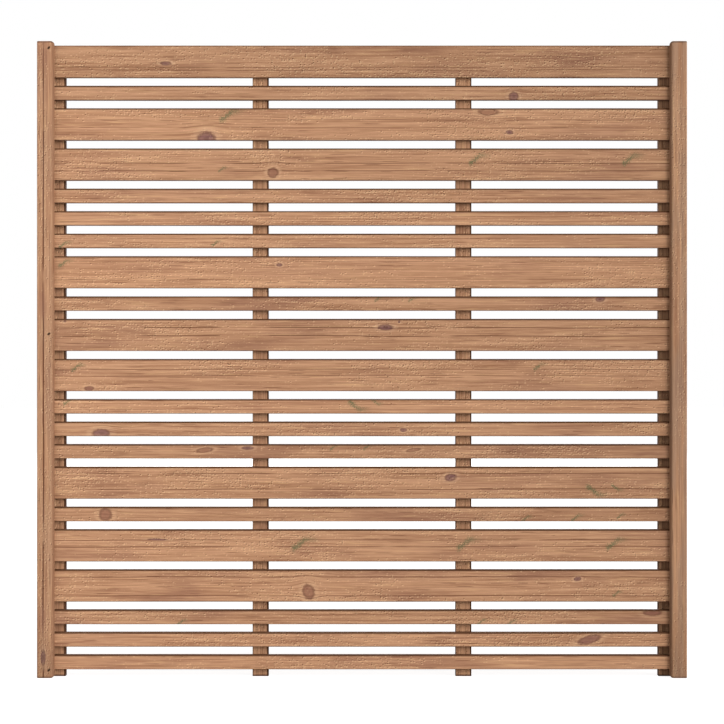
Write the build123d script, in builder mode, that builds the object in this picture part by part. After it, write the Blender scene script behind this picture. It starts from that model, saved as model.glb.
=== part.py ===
"""Slatted timber fence panel.

Horizontal slats, wide and narrow, are stapled from behind to four upright battens. The slat ends and the outer
battens sit in rebates at the back of two side posts, and longer staples pin them to the lip of each post.
The panel stands on its feet at z = 0, with +X across it, its front towards -Y and +Z up.
"""

import os

from build123d import *

os.makedirs("parts", exist_ok=True)

# Driving dimensions, in millimetres
panel_width = 1800.0

slat_rhythm = "WNWWNNN" * 3  # from the top down, W for wide and N for narrow
wide_slat_height = 90.0
narrow_slat_height = 41.0
slat_thickness = 16.0
slat_gap = 21.5
slat_arris = 1.5  # eased long edges
slat_end_clearance = 1.0  # between a slat's end and the wall of its rebate

post_width = 47.0
post_lip = 11.0  # thickness of the lip in front of the slat ends
post_rebate = 17.0  # width of the lip, and of the rebate behind it
post_round = 9.0  # rounding of the lip's inner edge and of its end corners
post_arris = 2.0
post_rise = 10.0  # above the top slat

batten_width = 45.0
batten_depth = 21.0
batten_set_back = 2.0  # from the back of the posts
batten_drop = 3.0  # below the top edge of the top slat
batten_arris = 1.5
middle_battens = 2

foot_clearance = 21.5  # from the feet of the posts and battens to the bottom slat

staple_crown = 11.0
staple_wire_width = 1.6
staple_wire_thickness = 1.4
staple_cover = 5.0  # wood left in front of a staple's points

# Heights, from the feet up to the post tops
slat_heights = [wide_slat_height if kind == "W" else narrow_slat_height for kind in slat_rhythm]
slat_field = sum(slat_heights) + slat_gap * (len(slat_heights) - 1)
field_top = foot_clearance + slat_field
panel_height = field_top + post_rise
batten_length = field_top - batten_drop

slat_centres = []
slat_top = field_top
for height in slat_heights:
    slat_centres.append(slat_top - height / 2)
    slat_top -= height + slat_gap

# Depths, from the front of the posts to their back
post_depth = post_lip + slat_thickness + batten_depth + batten_set_back
front_y = -post_depth / 2
back_y = post_depth / 2
slat_front_y = front_y + post_lip
slat_back_y = slat_front_y + slat_thickness
slat_centre_y = (slat_front_y + slat_back_y) / 2
batten_back_y = slat_back_y + batten_depth
batten_centre_y = (slat_back_y + batten_back_y) / 2

# Places across the panel, measured from its centre line
post_outer_x = panel_width / 2
post_inner_x = post_outer_x - post_width
rebate_wall_x = post_inner_x + post_rebate
lip_centre_x = (post_inner_x + rebate_wall_x) / 2
lip_round = min(post_round, 0.9 * post_lip, 0.9 * post_rebate)
slat_length = 2 * (rebate_wall_x - slat_end_clearance)

batten_count = middle_battens + 2
outer_batten_x = rebate_wall_x - batten_width / 2
batten_pitch = 2 * outer_batten_x / (batten_count - 1)
batten_centres = [-outer_batten_x + batten_pitch * number for number in range(batten_count)]
middle_centres = batten_centres[1:-1]


def wire_staple(leg):
    """A staple driven towards -Y, with its crown centred on the origin and lying along X."""
    with BuildPart() as staple:
        with BuildSketch(Plane.XY.offset(-staple_wire_width / 2)):
            Rectangle(staple_crown, leg, align=(Align.CENTER, Align.MAX))
            with Locations((0, -staple_wire_thickness)):
                Rectangle(
                    staple_crown - 2 * staple_wire_thickness,
                    leg,
                    align=(Align.CENTER, Align.MAX),
                    mode=Mode.SUBTRACT,
                )
        extrude(amount=staple_wire_width)
    return staple.part


# Short staples hold the slats to the middle battens, crown level. Long ones go through an outer batten and
# a slat's end into the post's lip, crown upright, along the narrow lip.
short_staple = wire_staple(batten_depth + slat_thickness - staple_cover)
long_staple = wire_staple(batten_depth + slat_thickness + post_lip - staple_cover)


def short_places(columns, rows):
    return [Location((x, batten_back_y, z)) for x in columns for z in rows]


def long_places(columns, rows):
    return [Location((x, batten_back_y, z), (0, 90, 0)) for x in columns for z in rows]


# Right post: the rebated section run up its height, then trimmed to the rounded outline seen from the front
with BuildPart() as right_post:
    with BuildSketch(Plane.XY) as section:
        with BuildLine():
            Polyline(
                (post_inner_x, front_y),
                (post_outer_x, front_y),
                (post_outer_x, back_y),
                (rebate_wall_x, back_y),
                (rebate_wall_x, slat_front_y),
                (post_inner_x, slat_front_y),
                close=True,
            )
        make_face()
        fillet(section.vertices().sort_by_distance((post_inner_x, front_y))[0], radius=lip_round)
        chamfer(section.vertices().group_by(Axis.X)[-1], length=post_arris)
    extrude(amount=panel_height)
    with BuildSketch(Plane.XZ) as outline:
        with Locations((post_inner_x, 0)):
            Rectangle(post_width, panel_height, align=Align.MIN)
        fillet(outline.vertices().group_by(Axis.X)[0], radius=lip_round)
        chamfer(outline.vertices().group_by(Axis.X)[-1], length=post_arris)
    extrude(amount=post_depth, both=True, mode=Mode.INTERSECT)
    with Locations(*long_places([lip_centre_x], slat_centres)):
        add(long_staple, mode=Mode.SUBTRACT)

right_post.part.label = "right_post"
export_step(right_post.part, "parts/right_post.step")

# Left post: the right one's mirror image
with BuildPart() as left_post:
    mirror(right_post.part, about=Plane.YZ)

left_post.part.label = "left_post"
export_step(left_post.part, "parts/left_post.step")

# Battens, from the left, each with the slots of its own staples
for number, x in enumerate(batten_centres, start=1):
    with BuildPart() as batten:
        with BuildSketch(Plane.XY) as section:
            with Locations((x, batten_centre_y)):
                Rectangle(batten_width, batten_depth)
            chamfer(section.vertices(), length=batten_arris)
        extrude(amount=batten_length)
        if x in middle_centres:
            with Locations(*short_places([x], slat_centres)):
                add(short_staple, mode=Mode.SUBTRACT)
        else:
            side = 1 if x > 0 else -1
            with Locations(*long_places([side * lip_centre_x], slat_centres)):
                add(long_staple, mode=Mode.SUBTRACT)

    batten.part.label = f"batten_{number}"
    export_step(batten.part, f"parts/batten_{number}.step")

# Slats, from the top down, each with the holes that its staples make
for number, (z, height) in enumerate(zip(slat_centres, slat_heights), start=1):
    with BuildPart() as slat:
        with BuildSketch(Plane.YZ) as section:
            with Locations((slat_centre_y, z)):
                Rectangle(slat_thickness, height)
            chamfer(section.vertices(), length=slat_arris)
        extrude(amount=slat_length / 2, both=True)
        with Locations(*short_places(middle_centres, [z])):
            add(short_staple, mode=Mode.SUBTRACT)
        with Locations(*long_places([-lip_centre_x, lip_centre_x], [z])):
            add(long_staple, mode=Mode.SUBTRACT)

    slat.part.label = f"slat_{number:02d}"
    export_step(slat.part, f"parts/slat_{number:02d}.step")

# Staples, one group for each length
with BuildPart() as short_staples:
    with Locations(*short_places(middle_centres, slat_centres)):
        add(short_staple)

short_staples.part.label = "short_staples"
export_step(short_staples.part, "parts/short_staples.step")

with BuildPart() as long_staples:
    with Locations(*long_places([-lip_centre_x, lip_centre_x], slat_centres)):
        add(long_staple)

long_staples.part.label = "long_staples"
export_step(long_staples.part, "parts/long_staples.step")
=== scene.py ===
# %% [markdown]
# # A slatted fence panel, dressed in Blender
# The real panel is softwood: wide and narrow slats are stapled from behind to upright battens, and two
# rebated posts close its sides. The packed CAD model already holds every piece in its place. It could be
# shown as it is, but a solid with a flat colour doesn't look like timber. So the frame is loaded as a fixed
# guide, and this lesson dresses it with eased boards, wire staples and wood with grain, knots and stains.

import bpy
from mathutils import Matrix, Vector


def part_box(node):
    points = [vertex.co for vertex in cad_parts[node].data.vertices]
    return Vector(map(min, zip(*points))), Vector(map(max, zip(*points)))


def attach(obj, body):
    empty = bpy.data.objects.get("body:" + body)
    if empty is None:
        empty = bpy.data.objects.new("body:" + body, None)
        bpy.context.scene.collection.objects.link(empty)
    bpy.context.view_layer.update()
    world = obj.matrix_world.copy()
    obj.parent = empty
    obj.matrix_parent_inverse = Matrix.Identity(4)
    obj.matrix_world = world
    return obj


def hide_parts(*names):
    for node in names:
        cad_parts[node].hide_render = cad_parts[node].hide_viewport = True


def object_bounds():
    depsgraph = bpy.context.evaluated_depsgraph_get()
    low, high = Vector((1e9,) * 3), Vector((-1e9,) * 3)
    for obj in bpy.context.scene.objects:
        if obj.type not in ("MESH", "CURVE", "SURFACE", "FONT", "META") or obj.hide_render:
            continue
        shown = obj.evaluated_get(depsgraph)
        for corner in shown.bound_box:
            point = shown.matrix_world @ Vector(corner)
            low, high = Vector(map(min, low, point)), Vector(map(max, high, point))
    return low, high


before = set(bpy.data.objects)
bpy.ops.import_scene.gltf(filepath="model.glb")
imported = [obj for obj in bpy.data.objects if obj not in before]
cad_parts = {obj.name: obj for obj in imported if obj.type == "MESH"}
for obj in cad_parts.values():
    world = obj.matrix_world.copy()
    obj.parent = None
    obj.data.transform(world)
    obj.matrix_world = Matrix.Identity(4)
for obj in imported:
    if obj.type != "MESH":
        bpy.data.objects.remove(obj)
cad_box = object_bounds()
print("CAD box in metres:", [[round(v, 4) for v in corner] for corner in cad_box])

# %% [markdown]
# ## Measure the pieces
# Every board is replaced by a better one of the same size in the same place. The sizes could be typed in
# again, but then they would drift apart from the CAD. They are read from the frame instead, node by node.

# %% List the boards and measure them
import math

import bpy
from mathutils import Vector

MM = 0.001

slat_nodes = sorted(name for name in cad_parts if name.startswith("slat_"))
batten_nodes = sorted(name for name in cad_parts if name.startswith("batten_"))


def middle_and_size(node):
    """The middle of a node's box and its size along x, y and z."""
    low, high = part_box(node)
    return (low + high) / 2, high - low


post_front = cad_box[0].y
print(len(slat_nodes), "slats and", len(batten_nodes), "battens; post fronts at y =", round(post_front, 4))

# %% [markdown]
# ## The camera
# The picture was taken square on, from a few metres away and from above the middle of the panel, without
# tilting the camera: the posts stay parallel. A tilted camera would make them lean together, so this one
# looks level and a little lens shift slides the picture down. The shift is kept small, because views from
# other sides keep it too.

# %% Place the camera
VIEW_DISTANCE = 4.6  # metres, from the lens to the front of the posts
VIEW_WIDTH = 2.004  # metres of the posts' front plane that fill the picture
VIEW_HEIGHT = 0.9753
VIEW_SHIFT = -0.05

camera_data = bpy.data.cameras.new("camera")
camera_data.sensor_width = 36.0
camera_data.lens = camera_data.sensor_width * VIEW_DISTANCE / VIEW_WIDTH
camera_data.shift_y = VIEW_SHIFT
camera = bpy.data.objects.new("camera", camera_data)
camera.location = (0.0, post_front - VIEW_DISTANCE, VIEW_HEIGHT)
camera.rotation_euler = (math.radians(90.0), 0.0, 0.0)
bpy.context.collection.objects.link(camera)
bpy.context.scene.camera = camera
print("lens", round(camera_data.lens, 2), "mm")

# %% [markdown]
# ## A bench for node trees
# Materials and Geometry Nodes are both trees of nodes. They could be wired one link at a time, but that
# takes three lines for every sum. This small bench adds a node, feeds it with plain values or with other
# nodes' sockets, and gives back the socket that carries the result, so a line of code reads like a formula.


# %% Make the bench
class NodeBench:
    """Adds nodes to one tree."""

    def __init__(self, tree):
        self.tree = tree

    def feed(self, socket, value):
        """Links a socket to another one or to a node's first output, or sets it to a plain value."""
        if isinstance(value, bpy.types.Node):
            value = value.outputs[0]
        if isinstance(value, bpy.types.NodeSocket):
            self.tree.links.new(value, socket)
        else:
            socket.default_value = value

    def node(self, kind, inputs=None, **settings):
        node = self.tree.nodes.new(kind)
        for name, value in settings.items():
            setattr(node, name, value)
        for key, value in (inputs or {}).items():
            self.feed(node.inputs[key], value)
        return node

    def math(self, operation, *values):
        return self.node("ShaderNodeMath", dict(enumerate(values)), operation=operation).outputs[0]

    def plus(self, first, second):
        return self.math("ADD", first, second)

    def minus(self, first, second):
        return self.math("SUBTRACT", first, second)

    def times(self, first, second):
        return self.math("MULTIPLY", first, second)

    def times_plus(self, first, second, third):
        return self.math("MULTIPLY_ADD", first, second, third)

    def highest(self, first, *others):
        for other in others:
            first = self.math("MAXIMUM", first, other)
        return first

    def vector(self, operation, *values):
        return self.node("ShaderNodeVectorMath", dict(enumerate(values)), operation=operation).outputs[0]

    def length(self, vector):
        return self.node("ShaderNodeVectorMath", {0: vector}, operation="LENGTH").outputs["Value"]

    def combine(self, x, y, z):
        return self.node("ShaderNodeCombineXYZ", {0: x, 1: y, 2: z}).outputs[0]

    def separate(self, vector):
        return self.node("ShaderNodeSeparateXYZ", {0: vector}).outputs[:]

    def ease(self, value, low, high, start=0.0, end=1.0):
        """Goes smoothly from start to end while value goes from low to high."""
        inputs = {"Value": value, "From Min": low, "From Max": high, "To Min": start, "To Max": end}
        node = self.node("ShaderNodeMapRange", inputs, interpolation_type="SMOOTHSTEP")
        return node.outputs["Result"]

    def noise(self, place, scale=(1.0, 1.0, 1.0), detail=2.0, roughness=0.5):
        """Noise from 0 to 1, stretched by a scale in waves per metre for each direction."""
        stretched = self.vector("MULTIPLY", place, scale)
        inputs = {"Vector": stretched, "Scale": 1.0, "Detail": detail, "Roughness": roughness}
        return self.node("ShaderNodeTexNoise", inputs).outputs[0]

    def cells(self, place, randomness=1.0):
        """The outputs of a pattern of scattered points, about one for each unit of place."""
        inputs = {"Vector": place, "Scale": 1.0, "Randomness": randomness}
        return self.node("ShaderNodeTexVoronoi", inputs).outputs

    def mix(self, factor, first, second, blend="MIX"):
        inputs = {0: factor, 6: first, 7: second}
        return self.node("ShaderNodeMix", inputs, data_type="RGBA", blend_type=blend).outputs[2]


print("bench ready:", ", ".join(name for name in vars(NodeBench) if not name.startswith("_")))

# %% [markdown]
# ## Node groups and colours
# A group is a tree with named sockets that other trees can place. The sockets could be made by hand each
# time, but a table of names and kinds is easier to read. Colours are written as they look on screen, as a
# person picks them, and turned into the linear light that Blender mixes.

# %% Start a group, write a colour
SOCKET_KINDS = {
    "number": "NodeSocketFloat",
    "whole": "NodeSocketInt",
    "vector": "NodeSocketVector",
    "colour": "NodeSocketColor",
    "geometry": "NodeSocketGeometry",
    "material": "NodeSocketMaterial",
}


def sockets(kind, *labels):
    """The same kind for several sockets."""
    return {label: kind for label in labels}


def start_tree(name, kind, inputs, outputs):
    """A new node group with named sockets: its bench, what it is given and what it puts out."""
    tree = bpy.data.node_groups.new(name, kind)
    for label, socket in inputs.items():
        tree.interface.new_socket(label, in_out="INPUT", socket_type=SOCKET_KINDS[socket])
    for label, socket in outputs.items():
        tree.interface.new_socket(label, in_out="OUTPUT", socket_type=SOCKET_KINDS[socket])
    given = tree.nodes.new("NodeGroupInput").outputs
    result = tree.nodes.new("NodeGroupOutput").inputs
    return NodeBench(tree), given, result


def srgb(red, green, blue):
    """A colour written as it looks on screen, 0 to 255, as the linear colour that Blender mixes."""
    parts = [channel / 255 for channel in (red, green, blue)]
    linear = [c / 12.92 if c <= 0.04045 else ((c + 0.055) / 1.055) ** 2.4 for c in parts]
    return (*linear, 1.0)


print("sockets:", ", ".join(SOCKET_KINDS))

# %% [markdown]
# ## Grain that flows round knots
# A knot is the foot of a branch, and the grain parts to pass it. It could be a dark dot on top of
# straight lines, but then the lines would run into it. This group works along the grain, across the face
# and through the board, and pushes the place where the grain is looked up away from each knot. It also
# puts out the knot's core, heart and rim, the pale sleeve round it and its shaded surroundings.

# %% Group: knots and the grain round them
KNOT_LABELS = ("Knot A", "Knot B", "Knot C")
KNOT_INPUTS = ("Place", *KNOT_LABELS, "Stretch", "Tilt", "Mauve")
KNOT_MASKS = ("Core", "Heart", "Rim", "Sleeve", "Halo", "Mauve")
SMALLEST_KNOT = 0.05 * MM

bench, given, result = start_tree(
    "knots_and_flow",
    "ShaderNodeTree",
    sockets("vector", *KNOT_INPUTS),
    {"Flow": "vector", **sockets("number", *KNOT_MASKS)},
)


def add_knot(bench, flow, knot, stretch, tilt, ragged):
    """One knot: the grain pushed aside by it, and its masks, which count distances in knot radii."""
    along, across, through = flow
    knot_along, knot_across, knot_radius = bench.separate(knot)
    radius = bench.math("MAXIMUM", knot_radius, SMALLEST_KNOT)
    aside = bench.minus(across, knot_across)
    past = bench.minus(along, knot_along)
    ahead = bench.math("DIVIDE", past, bench.math("MAXIMUM", stretch, 0.5))
    tilted = bench.minus(aside, bench.times(past, tilt))
    radii = bench.combine(radius, radius, radius)
    away = bench.length(bench.vector("DIVIDE", bench.combine(ahead, tilted, 0.0), radii))
    rough_away = bench.times_plus(ragged, 0.55, away)
    core = bench.ease(rough_away, 1.25, 0.62)
    heart = bench.ease(rough_away, 0.75, 0.1)
    rim = bench.times(bench.ease(rough_away, 0.55, 0.95), bench.ease(rough_away, 1.3, 0.95))
    sleeve = bench.times(bench.ease(rough_away, 1.05, 1.4), bench.ease(rough_away, 2.2, 1.5))
    halo = bench.ease(rough_away, 2.6, 0.9)
    push = bench.math("EXPONENT", bench.times(bench.times(away, away), -0.3))
    pushed = bench.times(bench.times(aside, push), 0.6)
    across = bench.minus(across, pushed)
    return (along, across, through), core, heart, rim, sleeve, halo


flow = bench.separate(given["Place"])
ragged = bench.minus(bench.noise(given["Place"], (120.0, 160.0, 160.0)), 0.5)
stretches = bench.separate(given["Stretch"])
tilts = bench.separate(given["Tilt"])
mauves = bench.separate(given["Mauve"])
masks = []
for label, stretch, tilt, mauve in zip(KNOT_LABELS, stretches, tilts, mauves):
    flow, core, *others, halo = add_knot(bench, flow, given[label], stretch, tilt, ragged)
    kept = bench.math("MINIMUM", bench.plus(mauve, 1.0), 1.0)
    faded_core = bench.times(core, kept)
    masks.append([faded_core, *others, halo, bench.times(halo, mauve)])
bench.feed(result["Flow"], bench.combine(*flow))
for label, shares in zip(KNOT_MASKS, zip(*masks)):
    bench.feed(result[label], bench.highest(*shares))
print("knots_and_flow:", len(bench.tree.nodes), "nodes")

# %% [markdown]
# ## Growth rings
# A board is cut from a round log, so its grain lines are slices of rings about the heart of the tree.
# Straight stripes would do on the face, but not on the ends of the posts, where the rings show. This
# group measures the distance to a heart line that wanders behind the board, and turns it into pale spring
# wood that darkens into thin late lines, a few of them strong.

# %% Group: growth rings
HEART_NEAREST = -75.0 * MM  # across the board, then how far the heart line may lie from there and wander
HEART_SPREAD = 100.0 * MM
HEART_WANDER = 50.0 * MM
HEART_DEPTH = 20.0 * MM  # behind the middle of the board, then the same again
HEART_DEPTH_SPREAD = 50.0 * MM
HEART_DEPTH_WANDER = 30.0 * MM

bench, given, result = start_tree(
    "growth_rings",
    "ShaderNodeTree",
    {"Flow": "vector", "Seed": "number", "Ring Width": "number"},
    {"Late Wood": "number"},
)
along, across, through = bench.separate(given["Flow"])
seed_place = bench.combine(given["Seed"], 3.7, 1.3)
seed_draw = bench.node("ShaderNodeTexWhiteNoise", {"Vector": seed_place}, noise_dimensions="3D")
draw_aside, draw_depth, _ = bench.separate(seed_draw.outputs["Color"])
slow_place = bench.combine(along, bench.times(given["Seed"], 5.1), 0.0)
sideways = bench.noise(slow_place, (0.9, 1.0, 1.0), 0.0)
depthways = bench.noise(slow_place, (1.4, 1.0, 1.0), 0.0)
heart_aside = bench.times_plus(draw_aside, HEART_SPREAD, HEART_NEAREST)
heart_across = bench.times_plus(sideways, HEART_WANDER, heart_aside)
heart_behind = bench.times_plus(draw_depth, HEART_DEPTH_SPREAD, HEART_DEPTH)
heart_through = bench.times_plus(depthways, HEART_DEPTH_WANDER, heart_behind)
aside = bench.minus(across, heart_across)
behind = bench.minus(through, heart_through)
from_heart = bench.length(bench.combine(aside, behind, 0.0))

seeded = bench.vector("ADD", given["Flow"], bench.combine(given["Seed"], given["Seed"], 0.0))
wobble = bench.noise(seeded, (4.0, 40.0, 40.0), 1.0)
rings_out = bench.math("DIVIDE", from_heart, given["Ring Width"])
phase = bench.times_plus(wobble, 0.9, rings_out)
share = bench.math("FRACT", phase)
ring_number = bench.plus(bench.math("FLOOR", phase), given["Seed"])
draw = bench.node("ShaderNodeTexWhiteNoise", {"W": ring_number}, noise_dimensions="1D").outputs["Value"]
strength = bench.times_plus(bench.math("POWER", draw, 5.0), 0.85, 0.15)
late = bench.times(bench.ease(share, 0.45, 0.9), bench.ease(share, 1.0, 0.93))
bench.feed(result["Late Wood"], bench.times(late, strength))
print("growth_rings:", len(bench.tree.nodes), "nodes")

# %% [markdown]
# ## Streaks on the wood
# Between its rings, weathered softwood carries fine fibre streaks, broader bands, a mauve blush and
# brownish smudges. They could be painted on a picture, but noise that is stretched along the grain has
# the same look at any size. The streaks are the first part of a group for all the marks of the surface.

# %% Group: timber marks, fibres and smudges
TIMBER_MARKS = ("Fibre", "Band", "Blush", "Smudge", "Pale", "Pits", "Fleck Highlights", "Dashes", "Check")

bench, given, result = start_tree(
    "timber_marks",
    "ShaderNodeTree",
    {"Flow": "vector", "Seed": "number", "Checks": "vector"},
    sockets("number", *TIMBER_MARKS),
)
seed_shift = bench.combine(given["Seed"], given["Seed"], given["Seed"])
spot = bench.vector("ADD", given["Flow"], seed_shift)
fibre = bench.noise(spot, (6.0, 400.0, 400.0), 3.0, 0.75)
blush = bench.noise(spot, (3.5, 15.0, 15.0))
smudge = bench.noise(spot, (9.0, 48.0, 48.0), 3.0, 0.6)
pale = bench.noise(spot, (9.0, 130.0, 130.0))
bench.feed(result["Fibre"], fibre)
bench.feed(result["Band"], bench.noise(spot, (1.8, 75.0, 75.0)))
bench.feed(result["Blush"], bench.ease(blush, 0.48, 0.72))
bench.feed(result["Smudge"], bench.ease(smudge, 0.54, 0.76))
bench.feed(result["Pale"], bench.ease(pale, 0.55, 0.76))
print("timber_marks:", len(bench.tree.nodes), "nodes for the streaks")

# %% [markdown]
# ## Pits and painted highlights
# The saw tears small dark pits out of soft wood, and beside each one torn fibres catch the light: there a
# pale fleck is painted as a painted highlight. They could be tiny objects, but they lie in the surface, so
# they are masks: stretched cells give the pits, and a slow noise thins them out into clusters. The flecks
# take the same cells, moved by half a cell and torn by the fibres, so each stays beside its pit.

# %% Group: timber marks, pits and flecks
FLECK_SHIFT = (-0.25, 0.5, 0.0)  # in cells

cluster = bench.noise(spot, (3.0, 13.0, 13.0))
pit_space = bench.vector("MULTIPLY", spot, (140.0, 230.0, 230.0))
pit_cells = bench.cells(pit_space)
pit_draw = bench.separate(pit_cells["Color"])[0]
pit_round = bench.ease(pit_cells["Distance"], 0.36, 0.2)
pit_kept = bench.ease(bench.times_plus(cluster, 2.8, pit_draw), 2.1, 2.3)
bench.feed(result["Pits"], bench.times(pit_round, pit_kept))

# Painted highlights: pale flecks beside the pits.
fleck_cells = bench.cells(bench.vector("ADD", pit_space, FLECK_SHIFT))
fleck_draw = bench.separate(fleck_cells["Color"])[0]
tear = bench.minus(fibre, 0.5)
fleck_torn = bench.ease(bench.times_plus(tear, 1.4, fleck_cells["Distance"]), 0.5, 0.2)
fleck_kept = bench.ease(bench.times_plus(cluster, 2.8, fleck_draw), 1.9, 2.3)
bench.feed(result["Fleck Highlights"], bench.times(fleck_torn, fleck_kept))
print("timber_marks:", len(bench.tree.nodes), "nodes with pits and flecks")

# %% [markdown]
# ## Dashes and drying checks
# A board that dries splits a little along the grain: short dark dashes all over, and one or two checks
# that run for most of its length. Gaps cut into the mesh would need far too many faces. So the dashes are
# the thin middles of long cells, and a check is a line that wanders and breaks off at times.

# %% Group: timber marks, dashes and checks
CHECK_WANDER = 7.0 * MM
CHECK_FADED = 1.5 * MM  # from the line of a check to where it can't be seen any more
CHECK_DARKEST = 0.5 * MM

dash_space = bench.vector("MULTIPLY", spot, (13.0, 105.0, 105.0))
dash_cells = bench.cells(dash_space, 0.8)
dash_off = bench.vector("ABSOLUTE", bench.vector("SUBTRACT", dash_space, dash_cells["Position"]))
dash_along, dash_across, _ = bench.separate(dash_off)
dash_draw = bench.separate(dash_cells["Color"])[1]
dash_run = bench.ease(dash_along, 0.4, 0.15)
dash_line = bench.times(dash_run, bench.ease(dash_across, 0.13, 0.03))
dash_kept = bench.ease(dash_draw, 0.78, 0.95)
bench.feed(result["Dashes"], bench.times(dash_line, dash_kept))

along, across, through = bench.separate(given["Flow"])
first_check, second_check, check_depth = bench.separate(given["Checks"])
line_place = bench.combine(along, bench.times(given["Seed"], 2.3), 0.0)
line_wander = bench.minus(bench.noise(line_place, (2.2, 1.0, 1.0)), 0.5)
line_break = bench.noise(line_place, (6.0, 1.0, 1.0))
lines = []
for check_height in (first_check, second_check):
    line = bench.times_plus(line_wander, CHECK_WANDER, check_height)
    off_line = bench.math("ABSOLUTE", bench.minus(across, line))
    lines.append(bench.ease(off_line, CHECK_FADED, CHECK_DARKEST))
check = bench.times(bench.highest(*lines), bench.ease(line_break, 0.36, 0.48))
bench.feed(result["Check"], bench.times(check, check_depth))
print("timber_marks:", len(bench.tree.nodes), "nodes in all")

# %% [markdown]
# ## Green treatment stains
# Pressure-treated boards keep short green strokes where the treatment pooled and dried. A painted texture
# could hold them, but a rule is lighter: each stroke follows a line that climbs and then trails off level,
# thins out towards its end, and is broken into flecks by a fine noise.

# %% Group: treatment stains
STAIN_LABELS = ("Stain A", "Stain B", "Stain C")
SHORTEST_STAIN = 0.1 * MM

bench, given, result = start_tree(
    "treatment_stains",
    "ShaderNodeTree",
    sockets("vector", "Place", *STAIN_LABELS),
    {"Stain": "number"},
)
along, across, through = bench.separate(given["Place"])
stain_noise = bench.noise(given["Place"], (300.0, 420.0, 420.0), 2.0, 0.6)
broken = bench.minus(stain_noise, 0.5)


def add_stain(bench, stain):
    """One stroke that climbs and then trails off level. A negative length makes it fall instead."""
    stain_along, stain_across, stain_length = bench.separate(stain)
    length = bench.math("MAXIMUM", bench.math("ABSOLUTE", stain_length), SHORTEST_STAIN)
    above = bench.minus(across, stain_across)
    lift = bench.times(above, bench.math("SIGN", stain_length))
    ahead = bench.math("DIVIDE", bench.minus(along, stain_along), length)
    aside = bench.math("DIVIDE", lift, length)
    climb = bench.ease(ahead, -0.36, 0.36, -0.22, 0.22)
    off_line = bench.math("ABSOLUTE", bench.minus(aside, climb))
    stroke = bench.ease(bench.times_plus(broken, 1.1, off_line), 0.2, 0.02)
    run = bench.times(bench.ease(ahead, -0.5, -0.3), bench.ease(ahead, 1.15, -0.1))
    return bench.times(stroke, run)


strokes = [add_stain(bench, given[label]) for label in STAIN_LABELS]
bench.feed(result["Stain"], bench.highest(*strokes))
print("treatment_stains:", len(bench.tree.nodes), "nodes")

# %% [markdown]
# ## Timber: all the effects on one board
# The four groups above are parts of one finish. Each material could place all four, but slats, battens
# and posts would then repeat the same mixing. One more group takes what tells a board from the next,
# places the four, and mixes a colour, a roughness and a height.

# %% Group: timber, and the groups it places
bench, given, result = start_tree(
    "timber",
    "ShaderNodeTree",
    {
        "Place": "vector",
        **sockets("number", "Seed", "Tone", "Marks", "Ring Width"),
        **sockets("vector", "Edges", "Ends", "Checks", *KNOT_INPUTS[1:], *STAIN_LABELS),
    },
    {"Colour": "colour", "Roughness": "number", "Height": "number"},
)


def place_group(bench, name, inputs):
    """Puts a group in a tree and feeds it."""
    node = bench.node("ShaderNodeGroup", node_tree=bpy.data.node_groups[name])
    for label, value in inputs.items():
        bench.feed(node.inputs[label], value)
    return node.outputs


knot_inputs = {label: given[label] for label in KNOT_INPUTS}
knot = place_group(bench, "knots_and_flow", knot_inputs)
ring_inputs = {"Flow": knot["Flow"], "Seed": given["Seed"], "Ring Width": given["Ring Width"]}
rings = place_group(bench, "growth_rings", ring_inputs)
mark_inputs = {"Flow": knot["Flow"], "Seed": given["Seed"], "Checks": given["Checks"]}
marks = place_group(bench, "timber_marks", mark_inputs)
stain_inputs = {label: given[label] for label in ("Place", *STAIN_LABELS)}
stains = place_group(bench, "treatment_stains", stain_inputs)
print("timber places", len(bench.tree.nodes) - 2, "groups")

# %% [markdown]
# ## Painted shade on the edges, dark ends
# A band along the upper edge of a board, and a weaker one along the lower edge, are painted darker as
# painted shade for the top and side faces that lie in shade. The sawn ends soak up more than the faces and
# are darker. The shape of the mesh could give these places, but a board knows where its edges and ends are
# and hands them to the group. The lines sway with the bands of the grain.

# %% Group: timber, its edges and ends
EDGE_SWAY = 3.0 * MM
LOWER_EDGE_SHARE = 0.7
END_FACE_SHARE = 0.35

low_edge, high_edge, edge_shade_strength = bench.separate(given["Edges"])
along, across, through = bench.separate(given["Place"])
from_top = bench.minus(high_edge, across)
from_bottom = bench.minus(across, low_edge)
edge_sway = bench.times(bench.minus(marks["Band"], 0.5), EDGE_SWAY)
# Painted shade: the dark bands along the upper and lower edge stand in for faces in shade.
top_line = bench.ease(bench.plus(edge_sway, from_top), 5.6 * MM, 3.0 * MM)
bottom_line = bench.ease(bench.plus(edge_sway, from_bottom), 3.2 * MM, 1.4 * MM)
painted_edge_shade = bench.highest(top_line, bench.times(bottom_line, LOWER_EDGE_SHARE))

low_end, high_end, end_dirt = bench.separate(given["Ends"])
from_foot = bench.minus(along, low_end)
from_head = bench.minus(high_end, along)
from_end = bench.math("MINIMUM", from_foot, from_head)
near_end = bench.ease(from_end, 6.0 * MM, 2.5 * MM)
end_face = bench.ease(from_end, 0.1 * MM, 0.9 * MM, END_FACE_SHARE, 1.0)
end_line = bench.times(near_end, end_face)
print("timber:", len(bench.tree.nodes), "nodes with edges and ends")

# %% [markdown]
# ## The colour of the wood
# Tan wood lies at the bottom, and every effect is a thin paint on it. The paints could go on in any
# order, but here it is that of the real surface: what grew, what the saw and the weather did, among them
# pale flecks that are painted highlights, then the treatment, the painted shade along the edges and the
# darker ends. Late wood stands proud and pits are sunk, which gives the height.

# %% Group: timber, its colour and height
TAN_PALE = srgb(208, 160, 124)
TAN_DARK = srgb(161, 115, 85)
LATE_BROWN = srgb(138, 94, 66)
BLUSH_MAUVE = srgb(146, 102, 82)
SMUDGE_BROWN = srgb(128, 84, 62)
PALE_YELLOW = srgb(218, 174, 128)
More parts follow.
